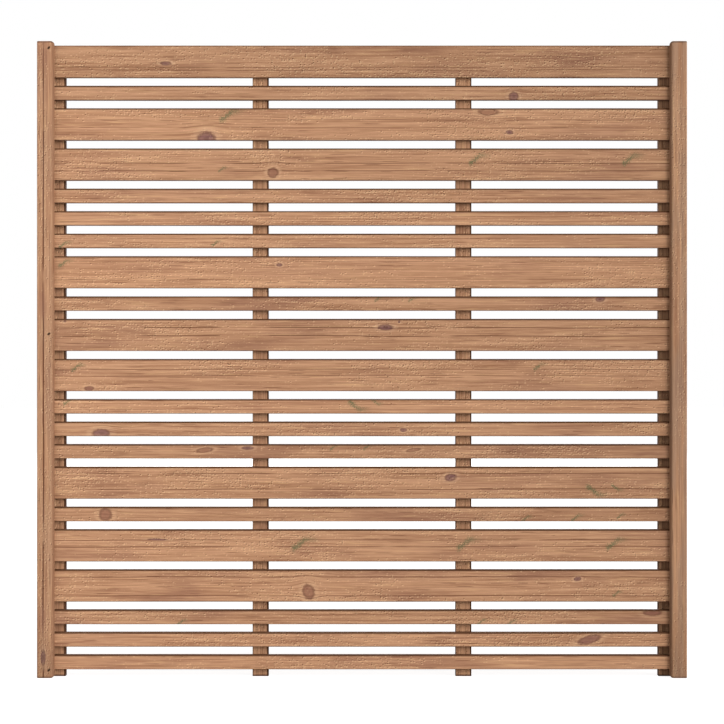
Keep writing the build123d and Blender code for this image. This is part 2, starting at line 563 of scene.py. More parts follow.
# Pale for the painted highlights of the flecks and for the pale sleeve round a knot.
HIGHLIGHT_AND_SLEEVE_PALE = srgb(232, 189, 147)
PIT_BROWN = srgb(98, 57, 40)
KNOT_RED = srgb(146, 98, 77)
KNOT_MAUVE = srgb(128, 90, 91)
KNOT_RIM = srgb(84, 52, 42)
STAIN_GREEN = srgb(86, 102, 70)
# Brown for the painted shade along the edges and for the darker end grain.
SHADE_AND_END_BROWN = srgb(72, 42, 24)


def layer(bench, colour, mask, share, paint):
    """Lays a paint over a colour where a mask is, at no more than a given share."""
    return bench.mix(bench.times(mask, share), colour, paint)


bands = bench.times(marks["Band"], 0.3)
grain = bench.times_plus(marks["Fibre"], 0.7, bands)
streaked = bench.ease(marks["Fibre"], 0.36, 0.58, 0.45, 1.15)
own_blush = bench.times(marks["Blush"], given["Marks"])
own_smudge = bench.times(marks["Smudge"], given["Marks"])
knot_paint = bench.mix(knot["Mauve"], KNOT_RED, KNOT_MAUVE)
sleeve = bench.times(knot["Sleeve"], bench.ease(marks["Fibre"], 0.62, 0.5))
knot_fibre = bench.ease(marks["Fibre"], 0.3, 0.65, 0.8, 1.2)
heart_share = bench.times_plus(knot["Mauve"], 0.28, 0.08)

paints = (
    (rings["Late Wood"], 0.6, LATE_BROWN),
    (bench.times(own_blush, streaked), 0.46, BLUSH_MAUVE),
    (marks["Pale"], 0.4, PALE_YELLOW),
    (own_smudge, 0.32, SMUDGE_BROWN),
    # Painted highlights where torn fibres catch the light.
    (marks["Fleck Highlights"], 0.66, HIGHLIGHT_AND_SLEEVE_PALE),
    (marks["Pits"], 0.78, PIT_BROWN),
    (marks["Dashes"], 0.7, PIT_BROWN),
    (marks["Check"], 0.75, PIT_BROWN),
    (knot["Halo"], 0.22, knot_paint),
    (sleeve, 0.32, HIGHLIGHT_AND_SLEEVE_PALE),
    (bench.times(knot["Core"], knot_fibre), 0.62, knot_paint),
    (knot["Rim"], 0.42, KNOT_RIM),
    (knot["Heart"], heart_share, KNOT_RIM),
    (stains["Stain"], 0.75, STAIN_GREEN),
    # Painted shade along the edges, then the darker end grain.
    (painted_edge_shade, edge_shade_strength, SHADE_AND_END_BROWN),
    (end_line, end_dirt, SHADE_AND_END_BROWN),
)
colour = bench.mix(bench.ease(grain, 0.34, 0.7), TAN_PALE, TAN_DARK)
for mask, share, paint in paints:
    colour = layer(bench, colour, mask, share, paint)
tone = bench.combine(given["Tone"], given["Tone"], given["Tone"])
bench.feed(result["Colour"], bench.mix(1.0, colour, tone, "MULTIPLY"))

rough = bench.times_plus(marks["Fibre"], 0.2, 0.65)
bench.feed(result["Roughness"], bench.times_plus(knot["Core"], -0.15, rough))

fibre_height = bench.times(marks["Fibre"], 0.6)
height = bench.times_plus(rings["Late Wood"], 0.5, fibre_height)
bench.feed(result["Height"], bench.times_plus(marks["Pits"], -0.8, height))
print("timber:", len(paints), "paints,", len(bench.tree.nodes), "nodes in all")

# %% [markdown]
# ## Timber materials
# Slats lie level and battens and posts stand upright, so each material turns the object coordinates until
# the first one follows the grain. A material for each board would do, but the boards carry their seed,
# tone, knots and stains as attributes, so one serves all the slats and one all the battens. The posts
# keep their CAD meshes, which carry none, and get these values from the material itself.

# %% Materials for boards
BUMP_DEPTH = 0.4 * MM
DRY_SHINE = 0.05
SLAT_RING_WIDTH = 3.4 * MM
BATTEN_RING_WIDTH = 4.0 * MM
ATTRIBUTE_OF = {
    "Edges": "board_edges",
    "Ends": "board_ends",
    "Checks": "board_checks",
    "Stretch": "knot_stretch",
    "Tilt": "knot_tilt",
    "Mauve": "knot_mauve",
    **{label: label.lower().replace(" ", "_") for label in KNOT_LABELS + STAIN_LABELS},
}


def start_material(name):
    """A material with an empty tree, its bench and its output node."""
    material = bpy.data.materials.new(name)
    material.use_nodes = True
    material.node_tree.nodes.clear()
    bench = NodeBench(material.node_tree)
    return material, bench, bench.node("ShaderNodeOutputMaterial")


def grain_place(bench, upright):
    """Object coordinates turned to run along the grain, across the face and through the board."""
    x, y, z = bench.separate(bench.node("ShaderNodeTexCoord").outputs["Object"])
    return bench.combine(z, x, y) if upright else bench.combine(x, z, y)


def timber_shader(bench, output, colour, roughness, height):
    """A Principled BSDF with the colour, roughness and relief of timber."""
    bump = bench.node("ShaderNodeBump", {"Height": height, "Strength": 1.0, "Distance": BUMP_DEPTH})
    inputs = {
        "Base Color": colour,
        "Roughness": roughness,
        "Normal": bump,
        "Specular IOR Level": DRY_SHINE,
    }
    bsdf = bench.node("ShaderNodeBsdfPrincipled", inputs)
    bench.feed(output.inputs["Surface"], bsdf)


def board_timber(name, upright, ring_width):
    """Timber for boards that carry their own values as attributes."""
    material, bench, output = start_material(name)
    own = bench.node("ShaderNodeAttribute", attribute_name="board_self").outputs["Vector"]
    inputs = {"Place": grain_place(bench, upright), "Ring Width": ring_width}
    inputs.update(zip(("Seed", "Tone", "Marks"), bench.separate(own)))
    for label, attribute in ATTRIBUTE_OF.items():
        inputs[label] = bench.node("ShaderNodeAttribute", attribute_name=attribute).outputs["Vector"]
    timber = place_group(bench, "timber", inputs)
    timber_shader(bench, output, timber["Colour"], timber["Roughness"], timber["Height"])
    return material


slat_timber = board_timber("slat_timber", upright=False, ring_width=SLAT_RING_WIDTH)
batten_timber = board_timber("batten_timber", upright=True, ring_width=BATTEN_RING_WIDTH)
print("made", slat_timber.name, "and", batten_timber.name)

# %% [markdown]
# ## An eased board
# A slat or batten is a long bar whose long edges are eased so that they don't splinter. A scaled cube has
# edges that are too sharp, and it can't carry values of its own. This Geometry Nodes tree sweeps a rounded
# rectangle along a line.

# %% Geometry Nodes: eased board, its shape
BOARD_ATTRIBUTES = {"Self": "board_self", **ATTRIBUTE_OF}
ARRIS_STEPS = 3

bench, given, result = start_tree(
    "eased_board",
    "GeometryNodeTree",
    {
        "Geometry": "geometry",
        **sockets("number", "Length", "Face", "Thickness", "Arris", "Wander"),
        "Steps": "whole",
        **sockets("vector", "Turn", "Middle", *BOARD_ATTRIBUTES),
        "Material": "material",
    },
    {"Geometry": "geometry"},
)


def rounded_bar(bench, path, width, height, radius, steps):
    """Sweeps a rectangle with rounded corners along a path and closes the ends."""
    sides = bench.node("GeometryNodeCurvePrimitiveQuadrilateral", {"Width": width, "Height": height})
    corners = {"Curve": sides, "Radius": radius, "Count": steps}
    section = bench.node("GeometryNodeFilletCurve", corners, mode="POLY")
    sweep = {"Curve": path, "Profile Curve": section, "Fill Caps": True}
    return bench.node("GeometryNodeCurveToMesh", sweep)


half_length = bench.times(given["Length"], 0.5)
start_point = bench.combine(bench.times(half_length, -1.0), 0.0, 0.0)
end_point = bench.combine(half_length, 0.0, 0.0)
line = bench.node("GeometryNodeCurvePrimitiveLine", {"Start": start_point, "End": end_point})
path = bench.node("GeometryNodeResampleCurve", {"Curve": line, "Count": given["Steps"]})
section_face = bench.times_plus(given["Wander"], -2.0, given["Face"])
swept = rounded_bar(bench, path, given["Thickness"], section_face, given["Arris"], ARRIS_STEPS)
print("eased_board:", len(bench.tree.nodes), "nodes for the shape")

# %% [markdown]
# ## A board with its own values
# Sawn wood is never quite straight, so the edges wander by a fraction of a millimetre. The tree then
# turns and moves the board to its place, and stores seed, tone, knots and stains as attributes for the
# material. They could be drawn at random there, but then they couldn't be chosen.

# %% Geometry Nodes: eased board, its place and values
position = bench.node("GeometryNodeInputPosition").outputs[0]
own_shift = bench.vector("MULTIPLY", given["Self"], (9.7, 0.0, 0.0))
own_place = bench.vector("ADD", position, own_shift)
sway = bench.minus(bench.noise(own_place, (2.4, 1.0, 9.0)), 0.5)
sway_reach = bench.times(given["Wander"], 2.0)
shift = bench.combine(0.0, 0.0, bench.times(sway, sway_reach))
swayed = bench.node("GeometryNodeSetPosition", {"Geometry": swept, "Offset": shift})
placed = bench.node(
    "GeometryNodeTransform",
    {"Geometry": swayed, "Translation": given["Middle"], "Rotation": given["Turn"]},
)
flat = bench.node("GeometryNodeSetShadeSmooth", {0: placed, "Shade Smooth": False})
geometry = flat
for label, attribute in BOARD_ATTRIBUTES.items():
    stored = bench.node("GeometryNodeStoreNamedAttribute", data_type="FLOAT_VECTOR", domain="POINT")
    bench.feed(stored.inputs["Geometry"], geometry)
    bench.feed(stored.inputs["Name"], attribute)
    bench.feed(stored.inputs["Value"], given[label])
    geometry = stored


def end_tree(bench, geometry, material, result):
    """Turns copies into plain geometry, sets its material and puts it out."""
    whole = bench.node("GeometryNodeRealizeInstances", {"Geometry": geometry})
    finished = bench.node("GeometryNodeSetMaterial", {"Geometry": whole, "Material": material})
    bench.feed(result, finished)
    print(bench.tree.name, "has", len(bench.tree.nodes), "nodes")
    return bench.tree


board_nodes = end_tree(bench, geometry, given["Material"], result["Geometry"])

# %% [markdown]
# ## From a tree to a mesh
# A modifier that stays live would be worked out again at every step, and other tools couldn't read its
# result. So each piece runs its tree once and keeps the evaluated mesh. It then rides on the root body,
# and the CAD node that it stands for is hidden.


# %% Turn a tree into a plain mesh
def grow_piece(name, tree, values, points=()):
    """Runs a Geometry Nodes tree on some points and keeps the result as a plain mesh object."""
    mesh = bpy.data.meshes.new(name)
    mesh.from_pydata(list(points), [], [])
    piece = bpy.data.objects.new(name, mesh)
    bpy.context.collection.objects.link(piece)
    modifier = piece.modifiers.new(tree.name, "NODES")
    modifier.node_group = tree
    for socket in tree.interface.items_tree:
        if socket.in_out == "INPUT" and socket.name in values:
            modifier[socket.identifier] = values[socket.name]
    evaluated = piece.evaluated_get(bpy.context.evaluated_depsgraph_get())
    grown = bpy.data.meshes.new_from_object(evaluated)
    piece.modifiers.remove(modifier)
    piece.data = grown
    bpy.data.meshes.remove(mesh)
    grown.name = name
    return piece


def take_place(piece, node):
    """Attaches a piece to the root body and hides the CAD node that it stands for."""
    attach(piece, "root")
    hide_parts(node)


print("a tree becomes a mesh through grow_piece")

# %% [markdown]
# ## The slats
# Twenty-one boards run across the panel, each with its own knots, stains, drying checks and tone. They
# could be left to chance, but then no board would look like the one in the picture. So they are listed as
# a person would note them at the bench: millimetres along from the middle of the board, millimetres above
# its centre line, and a size.

# %% Notes on the slats
# Knots: along, above the centre line, radius, how much longer than high, how steeply they climb, and how
# mauve and dark they are. Below zero, a knot is faded instead.
SLAT_KNOTS = {
    1: [(-544, -5, 5, 2.8, 0.0, 0.9)],
    2: [(421, -10, 12, 1.0, 0.0, 0.9)],
    3: [(-432, -41, 18, 1.25, 0.0, 1.0), (351, 34, 8.5, 3.0, 0.0, -0.45), (409, -22, 5, 1.8, 0.0, 1.5)],
    4: [(-247, -23, 12.5, 1.05, 0.0, 0.1)],
    8: [(-229, 20, 4, 1.9, 0.0, 1.0)],
    9: [(661, 12, 6.5, 1.8, 0.1, 1.8)],
    10: [(65, 21, 7.5, 2.4, 0.0, 1.7), (103, 35, 3, 1.0, 0.0, 1.0), (-824, 38, 3, 1.2, 0.0, 0.5)],
    11: [(-757, -37, 6, 2.0, 0.0, 0.3)],
    13: [(-724, -12, 11, 2.0, 0.05, 1.0), (115, -3, 4.5, 1.9, 0.0, 1.0)],
    14: [(-317, 10, 4.5, 3.2, 0.0, 1.5), (-437, 4, 6, 3.6, 0.12, -0.3), (142, 4, 4.5, 4.0, 0.15, -0.2)],
    15: [(246, 15, 9, 1.6, 0.1, 1.1)],
    16: [(-712, -1, 16, 1.0, 0.0, 0.1)],
    17: [(-568, 17, 2.4, 10.0, -0.02, 1.2)],
    18: [(-148, -17, 18, 0.85, -0.2, 0.1), (598, 19, 5.2, 1.7, 0.1, 1.2)],
    19: [(806, 13, 8, 2.9, 0.0, 0.2)],
    20: [(631, 0, 10.5, 2.8, 0.25, 0.5)],
}
# Stains: along, above the centre line, and length. A negative length slants the other way.
SLAT_STAINS = {
    3: [(-374, 24, 52)],
    4: [(316, 15, 48), (742, 14, 50), (-390, -14, 22)],
    7: [(-829, -10, 30), (-408, -7, 24)],
    8: [(-829, 25, 34)],
    9: [(43, 12, 22), (138, 12, 24)],
    11: [(-794, 21, 34), (488, 23, 30)],
    12: [(-817, 14, 30), (-20, 2, -46), (37, 13, -26)],
    14: [(-80, 12, 22), (12, 12, 22)],
    15: [(642, -22, -50), (703, -13, -28)],
    16: [(453, -12, 26), (592, -10, 30), (716, -5, 22)],
    17: [(-172, 5, 56), (284, 5, 52), (697, 5, 48)],
    18: [(704, -22, 24)],
    19: [(-503, -14, 26), (329, -14, 26), (413, -14, 24)],
}
# Drying checks: height of two lines above the centre line, and how dark they are.
SLAT_CHECKS = {
    1: (-16, -24, 0.8),
    3: (12, -10, 0.6),
    4: (3, -18, 1.0),
    8: (-20, 30, 0.5),
    9: (14, 15, 0.6),
    10: (20, -3, 1.2),
    11: (16, -2, 0.8),
    15: (-17, 26, 1.1),
    17: (-3, 16, 1.0),
    18: (24, -28, 1.0),
}
OTHER_CHECKS = (6, -9, 0.4)
# Tones: boards that are darker or paler than the rest.
SLAT_TONES = {
    1: 0.87,
    2: 0.92,
    4: 0.97,
    6: 1.05,
    7: 1.03,
    8: 1.05,
    9: 0.96,
    10: 0.95,
    12: 1.08,
    13: 1.02,
    14: 0.96,
    17: 1.03,
    18: 1.03,
    20: 1.08,
    21: 1.09,
}
# Marks: how strong the blush and the smudges are. Boards that aren't listed have 1.
SLAT_MARKS = {
    **{number: 1.4 for number in (1, 9, 10, 14, 16, 18, 19)},
    **{number: 0.7 for number in (6, 7, 8, 12)},
}
print(sum(map(len, SLAT_KNOTS.values())), "knots and", sum(map(len, SLAT_STAINS.values())), "stains noted")

# %% [markdown]
# ## From notes to values
# The notes are in millimetres about a board's middle, but the groups work in metres in the frame. Each
# could be changed by hand, but helpers do it once for slats, battens and posts. Knots and stains that a
# board doesn't have are put far off it, where they don't show.

# %% Turn notes into values
OFF_BOARD = (-9000, 0, 0, 1, 0, 0)


def noted(notes, count):
    """Pads a board's notes, so that every board has the same number of them."""
    return list(notes) + [OFF_BOARD] * (count - len(notes))


def placed_notes(labels, notes, centre):
    """Each note's place and size in metres, about a centre line."""
    return {
        label: (along * MM, centre + above * MM, size * MM)
        for label, (along, above, size, *_) in zip(labels, noted(notes, len(labels)))
    }


def knot_values(notes, centre):
    """A board's knots: their places, and how they are stretched, tilted and coloured."""
    knots = noted(notes, len(KNOT_LABELS))
    values = placed_notes(KNOT_LABELS, notes, centre)
    values["Stretch"] = tuple(float(knot[3]) for knot in knots)
    values["Tilt"] = tuple(float(knot[4]) for knot in knots)
    values["Mauve"] = tuple(float(knot[5]) for knot in knots)
    return values


def check_values(notes, centre):
    """The places of two drying checks, and how dark they are."""
    first, second, depth = notes
    return (centre + first * MM, centre + second * MM, depth)


def both_sides(middle, size, darkness):
    """The two sides of a board along one direction, and how dark they are painted there."""
    return (middle - size / 2, middle + size / 2, darkness)


print("a knot that isn't noted lies at", OFF_BOARD[0], "mm")

# %% [markdown]
# ## Grow the slats
# Each slat runs the board tree with the size of its CAD node and its own notes. The boards could share
# one mesh, but a saw leaves no two alike. The top slat gets less painted shade along its edges, because no
# slat above it shades its top.

# %% Grow the slats
SLAT_ARRIS = 1.5 * MM
SLAT_WANDER = 0.4 * MM
SLAT_STEPS = 48
SLAT_SEED_STEP = 1.37
# How strongly the edges are painted with shade; the top slat's get less, as nothing above shades them.
SLAT_EDGE_SHADE = 0.9
TOP_SLAT_EDGE_SHADE = 0.4
NO_TURN = (0.0, 0.0, 0.0)


def slat_values(number, node):
    """What the board tree needs to grow one slat."""
    middle, size = middle_and_size(node)
    tone = SLAT_TONES.get(number, 1.0)
    darkness = TOP_SLAT_EDGE_SHADE if number == 1 else SLAT_EDGE_SHADE
    return {
        "Length": size.x,
        "Face": size.z,
        "Thickness": size.y,
        "Arris": SLAT_ARRIS,
        "Wander": SLAT_WANDER,
        "Steps": SLAT_STEPS,
        "Turn": NO_TURN,
        "Middle": middle[:],
        "Self": (number * SLAT_SEED_STEP, tone, SLAT_MARKS.get(number, 1.0)),
        "Edges": both_sides(middle.z, size.z, darkness),
        "Checks": check_values(SLAT_CHECKS.get(number, OTHER_CHECKS), middle.z),
        **knot_values(SLAT_KNOTS.get(number, ()), middle.z),
        **placed_notes(STAIN_LABELS, SLAT_STAINS.get(number, ()), middle.z),
        "Material": slat_timber,
    }


for number, node in enumerate(slat_nodes, start=1):
    slat = grow_piece(f"{node}_board", board_nodes, slat_values(number, node))
    take_place(slat, node)
print("grew", len(slat_nodes), "slats of", len(slat.data.polygons), "faces")

# %% [markdown]
# ## The battens
# Four upright laths stand behind the slats and carry them, each with a tone of its own; the left outer one
# is also painted lighter as painted light, and the right outer one darker as painted shade from the right
# post.
# They are the same kind of board, so the same tree grows them, turned to stand. Their back is left a hair
# lower than the CAD's, so that the crowns of the staples, which end level with the CAD's back, stand just
# proud of the wood.

# %% Grow the battens
BATTEN_ARRIS = 1.5 * MM
BATTEN_WANDER = 0.3 * MM
BATTEN_STEPS = 40
BATTEN_SEED = 40.0
BATTEN_SEED_STEP = 2.11
# Tones of the battens, with painted light on the left outer one and painted shade on the right outer one.
BATTEN_TONES_AND_LIGHT = (1.15, 1.02, 1.01, 0.94)
BATTEN_MARKS = 0.8
# Painted shade along the battens' sides, which lie in shade between the slats.
BATTEN_EDGE_SHADE = 1.0
BATTEN_END_DIRT = 0.9
BATTEN_CHECKS = (6, -11, 0.5)
STAPLE_PROUD = 0.25 * MM
UPRIGHT = (0.0, math.radians(-90.0), 0.0)

for number, node in enumerate(batten_nodes, start=1):
    middle, size = middle_and_size(node)
    values = {
        "Length": size.z,
        "Face": size.x,
        "Thickness": size.y - STAPLE_PROUD,
        "Arris": BATTEN_ARRIS,
        "Wander": BATTEN_WANDER,
        "Steps": BATTEN_STEPS,
        "Turn": UPRIGHT,
        "Middle": (middle.x, middle.y - STAPLE_PROUD / 2, middle.z),
        "Self": (BATTEN_SEED + number * BATTEN_SEED_STEP, BATTEN_TONES_AND_LIGHT[number - 1], BATTEN_MARKS),
        "Edges": both_sides(middle.x, size.x, BATTEN_EDGE_SHADE),
        "Ends": both_sides(middle.z, size.z, BATTEN_END_DIRT),
        "Checks": check_values(BATTEN_CHECKS, middle.x),
        "Stretch": (1.0, 1.0, 1.0),
        "Material": batten_timber,
    }
    batten = grow_piece(f"{node}_board", board_nodes, values)
    take_place(batten, node)
print("grew", len(batten_nodes), "battens of", len(batten.data.polygons), "faces")

# %% [markdown]
# ## Steel for the staples
# The staples are bright galvanized wire with a cloudy bloom and fine scuffs. A plain grey metal would look
# like chrome, so one noise clouds the colour and the roughness, and a finer one scratches the surface.

# %% Make the steel
STEEL_PALE = srgb(196, 198, 200)
STEEL_DARK = srgb(150, 152, 155)
SCUFF_DEPTH = 0.05 * MM

staple_steel, bench, output = start_material("staple_steel")
steel_place = bench.node("ShaderNodeTexCoord").outputs["Object"]
steel_bloom = bench.noise(steel_place, (300.0, 300.0, 300.0), 3.0, 0.6)
steel_scuff = bench.noise(steel_place, (900.0, 900.0, 1500.0))
steel_bump = bench.node("ShaderNodeBump", {"Height": steel_scuff, "Strength": 0.4, "Distance": SCUFF_DEPTH})
steel_inputs = {
    "Base Color": bench.mix(steel_bloom, STEEL_PALE, STEEL_DARK),
    "Roughness": bench.ease(steel_bloom, 0.3, 0.7, 0.28, 0.5),
    "Normal": steel_bump,
    "Metallic": 1.0,
}
steel = bench.node("ShaderNodeBsdfPrincipled", steel_inputs)
bench.feed(output.inputs["Surface"], steel)
print("made", staple_steel.name)

# %% [markdown]
# ## The staples
# Wire staples are driven from behind, one at each crossing. Their legs are buried and only the crowns show.
# Each could be modelled by hand, but they repeat, so a Geometry Nodes tree bends one wire into a staple and
# sets a copy on every point. The wire starts as four points in a row: two tips and the two bends.

# %% Geometry Nodes: wire staples
WIRE_POINTS = 4
WIRE_MIDDLE = (WIRE_POINTS - 1) / 2
WIRE_ROUND = 0.35 * MM

bench, given, result = start_tree(
    "wire_staples",
    "GeometryNodeTree",
    {
        "Geometry": "geometry",
        **sockets("number", "Crown", "Leg", "Wire Width", "Wire Thickness", "Bend"),
        "Turn": "vector",
        "Material": "material",
    },
    {"Geometry": "geometry"},
)
wire_line = bench.node(
    "GeometryNodeCurvePrimitiveLine",
    {"Start": (0.0, 0.0, 0.0), "End": (1.0, 0.0, 0.0)},
)
wire = bench.node("GeometryNodeResampleCurve", {"Curve": wire_line, "Count": WIRE_POINTS})
index = bench.node("GeometryNodeInputIndex").outputs[0]
right_half = bench.math("GREATER_THAN", index, WIRE_MIDDLE)
from_middle = bench.math("ABSOLUTE", bench.minus(index, WIRE_MIDDLE))
is_tip = bench.math("GREATER_THAN", from_middle, 1.0)
wire_middle = bench.times(given["Wire Thickness"], -0.5)
wire_reach = bench.minus(given["Crown"], given["Wire Thickness"])
leg_x = bench.times(bench.minus(right_half, 0.5), wire_reach)
tip_drop = bench.times(is_tip, bench.plus(given["Leg"], wire_middle))
leg_y = bench.minus(wire_middle, tip_drop)
bent = bench.node(
    "GeometryNodeSetPosition",
    {"Geometry": wire, "Position": bench.combine(leg_x, leg_y, 0.0)},
)
rounded = bench.node(
    "GeometryNodeFilletCurve",
    {"Curve": bent, "Radius": given["Bend"], "Count": 3},
    mode="POLY",
)
staple_wire = rounded_bar(bench, rounded, given["Wire Thickness"], given["Wire Width"], WIRE_ROUND, 1)
flat_wire = bench.node("GeometryNodeSetShadeSmooth", {0: staple_wire, "Shade Smooth": False})
copies = bench.node(
    "GeometryNodeInstanceOnPoints",
    {"Points": given["Geometry"], "Instance": flat_wire, "Rotation": given["Turn"]},
)
staple_nodes = end_tree(bench, copies, given["Material"], result["Geometry"])

# %% [markdown]
# ## Drive the staples
# The points are the middles of the crossings, at the back of the battens. Short staples hold the slats to
# the middle battens, with their crowns level. Long ones go through an outer batten and a slat's end into the
# narrow lip of the post, so their crowns stand upright. Their columns are read from the CAD's own staples.

# %% Drive the staples
STAPLE_CROWN = 11.0 * MM
STAPLE_WIRE_WIDTH = 1.6 * MM
STAPLE_WIRE_THICKNESS = 1.4 * MM
STAPLE_BEND = 0.9 * MM
CROWN_UPRIGHT = (0.0, math.radians(90.0), 0.0)

batten_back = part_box(batten_nodes[0])[1].y
slat_heights = [middle_and_size(node)[0].z for node in slat_nodes]
middle_columns = [middle_and_size(node)[0].x for node in batten_nodes[1:-1]]
long_low, long_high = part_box("long_staples")
lip_columns = [long_low.x + STAPLE_WIRE_WIDTH / 2, long_high.x - STAPLE_WIRE_WIDTH / 2]


def drive_staples(node, columns, turn):
    """One group of staples, at every crossing of some columns with the slats."""
    low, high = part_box(node)
    points = [(x, batten_back, z) for x in columns for z in slat_heights]
    values = {
        "Crown": STAPLE_CROWN,
        "Leg": high.y - low.y,
        "Wire Width": STAPLE_WIRE_WIDTH,
        "Wire Thickness": STAPLE_WIRE_THICKNESS,
        "Bend": STAPLE_BEND,
        "Turn": turn,
        "Material": staple_steel,
    }
    staples = grow_piece(f"{node}_wire", staple_nodes, values, points)
    take_place(staples, node)
    print(node, "grew", len(points), "staples,", len(staples.data.polygons), "faces")


drive_staples("short_staples", middle_columns, NO_TURN)
drive_staples("long_staples", lip_columns, CROWN_UPRIGHT)

# %% [markdown]
# ## The posts
# The two posts have the right shape already: a rebated bar whose inner edge and ends are rounded. So the CAD
# nodes stay and only get better timber. The left post carries a dark upright streak, an eye-shaped knot near
# its foot, a few mauve patches and three old nail holes. The right one is plainer and greyer. Their ends
# show the growth rings, because the rings run through the wood.

# %% Notes on the posts
# Everything is in millimetres up from the foot and across from the middle of the face. A knot goes on as on
# the slats, a patch with half its width.
LEFT_POST = {
    "seed": 71.3,
    "tone": 0.885,
    "greyness": 0.12,
    "darker_below": 160,
    "checks": (-4.8, -6.2, 1.3),
    "knots": [(57, -6, 6.5, 2.9, 0.0, 1.8)],
    "patches": [(164, -9, 12), (1036, -9, 13), (1745, -4, 18)],
    "nail_holes": [(1745, 9.5), (953, 9.5), (22, 9.5)],
}
RIGHT_POST = {
    "seed": 83.9,
    "tone": 0.95,
    "greyness": 0.3,
    "darker_below": 380,
    "checks": (-7, 9, 0.2),
    "knots": [],
    "patches": [],
    "nail_holes": [],
}
print("left post:", len(LEFT_POST["patches"]), "patches and", len(LEFT_POST["nail_holes"]), "nail holes")

# %% [markdown]
# ## Weather and painted shade on the posts
# Posts stand in the open: grey streaks run down them and they grow darker towards the foot. The rounded
# inner edge, which turns away from the light, is painted darker as painted shade. Another group could hold
# this, but only the posts need it, so two helpers lay it over the timber in the material itself.

# %% Shade the posts and sink the nail holes
POST_ROUND = 9.0 * MM
FOOT_DARK_SHARE = 0.3
ROUND_SHADE_SHARE = 0.7
PATCH_SHARE = 0.4
PATCH_SQUEEZE = 0.3  # a patch reaches about three times as far along the grain as across it
# Brown for the darker foot and for the painted shade on the inner edge.
FOOT_AND_SHADE_BROWN = srgb(112, 78, 56)
WEATHER_GREY = srgb(146, 130, 116)


def weather_and_shade_post(bench, colour, place, node, notes):
    """Lays grey streaks, a darker foot, painted shade on the inner edge and mauve patches over a post's
    colour.
    """
    middle, size = middle_and_size(node)
    along, across, through = bench.separate(place)
    weathered = bench.ease(bench.noise(place, (5.0, 60.0, 60.0)), 0.35, 0.65)
    colour = layer(bench, colour, weathered, notes["greyness"], WEATHER_GREY)
    # Darker towards the foot.
    foot_dark = bench.ease(along, notes["darker_below"] * MM, 0.0)
    colour = layer(bench, colour, foot_dark, FOOT_DARK_SHARE, FOOT_AND_SHADE_BROWN)
    # Painted shade on the rounded inner edge, which turns away from the light.
    inner_edge = abs(middle.x) - size.x / 2
    from_inside = bench.minus(bench.math("ABSOLUTE", across), inner_edge)
    colour = layer(bench, colour, bench.ease(from_inside, POST_ROUND, 1.0 * MM), ROUND_SHADE_SHARE, FOOT_AND_SHADE_BROWN)
    for patch_up, patch_across, half_width in notes["patches"]:
        up = bench.times(bench.minus(along, patch_up * MM), PATCH_SQUEEZE)
        aside = bench.minus(across, middle.x + patch_across * MM)
        away = bench.length(bench.combine(up, aside, 0.0))
        patch = bench.ease(away, 1.3 * half_width * MM, 0.5 * half_width * MM)
        colour = layer(bench, colour, patch, PATCH_SHARE, BLUSH_MAUVE)
    return colour


def nail_hole(bench, place, hole_up, hole_across):
    """A mask for one old nail hole, longer than wide because the nail went in at a slant."""
    along, across, through = bench.separate(place)
    up = bench.minus(along, hole_up)
    aside = bench.minus(across, hole_across)
    lengthways = bench.times(bench.plus(up, aside), 0.45)
    sideways = bench.times(bench.minus(up, aside), 0.75)
    return bench.ease(bench.length(bench.combine(lengthways, sideways, 0.0)), 4.0 * MM, 2.2 * MM)


print("posts are shaded over", POST_ROUND / MM, "mm of their inner edge")

# %% [markdown]
# ## Timber for the posts
# A post's material places the same timber group as the boards do, with the post's notes set on its sockets,
# because a CAD mesh has no attributes to read. The nail holes are painted dark and sunk by the bump.

# %% Timber for the posts
POST_RING_WIDTH = 4.2 * MM
POST_MARKS = 0.6
# Painted shade along the sides of the post.
POST_EDGE_SHADE = 0.12
POST_END_DIRT = 0.7
HOLE_SHARE = 0.9
HOLE_SINK = 2.0
HOLE_BROWN = srgb(34, 22, 16)


def post_timber(node, notes):
    """Gives a post's CAD node a timber material with the post's own notes."""
    middle, size = middle_and_size(node)
    material, bench, output = start_material(f"{node}_timber")
    place = grain_place(bench, upright=True)
    inputs = {
        "Place": place,
        "Seed": notes["seed"],
        "Tone": notes["tone"],
        "Marks": POST_MARKS,
        "Ring Width": POST_RING_WIDTH,
        "Edges": both_sides(middle.x, size.x, POST_EDGE_SHADE),
        "Ends": both_sides(middle.z, size.z, POST_END_DIRT),
        "Checks": check_values(notes["checks"], middle.x),
        **knot_values(notes["knots"], middle.x),
    }
    timber = place_group(bench, "timber", inputs)
    colour = weather_and_shade_post(bench, timber["Colour"], place, node, notes)
    height = timber["Height"]
    for hole_up, hole_across in notes["nail_holes"]:
        sunk = nail_hole(bench, place, hole_up * MM, middle.x + hole_across * MM)
        colour = layer(bench, colour, sunk, HOLE_SHARE, HOLE_BROWN)
        height = bench.times_plus(sunk, -HOLE_SINK, height)
    timber_shader(bench, output, colour, timber["Roughness"], height)
    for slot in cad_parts[node].material_slots:
        slot.material = material
    print(node, "has", material.name, "of", len(material.node_tree.nodes), "nodes")


post_timber("left_post", LEFT_POST)
post_timber("right_post", RIGHT_POST)

# %% [markdown]
# ## Floor and background
# The panel stands on a plain pale floor in front of white. Lighting everything until it burns out to white
# would bleach the wood too. So rays that come from the camera, or by way of a mirror or glass, see nearly
# white, and all other rays see an ordinary pale floor and a grey sky. A share of plain diffuse keeps the
# panel's shadow on the floor.

# %% Make the floor and the sky
FLOOR_HALF = 15.0
FLOOR_GLOW = 0.87
SEEN_FLOOR_GREY = 0.36
PLAIN_FLOOR_GREY = 0.4
SKY_LEVEL = 0.06
WHITE = (1.0, 1.0, 1.0, 1.0)


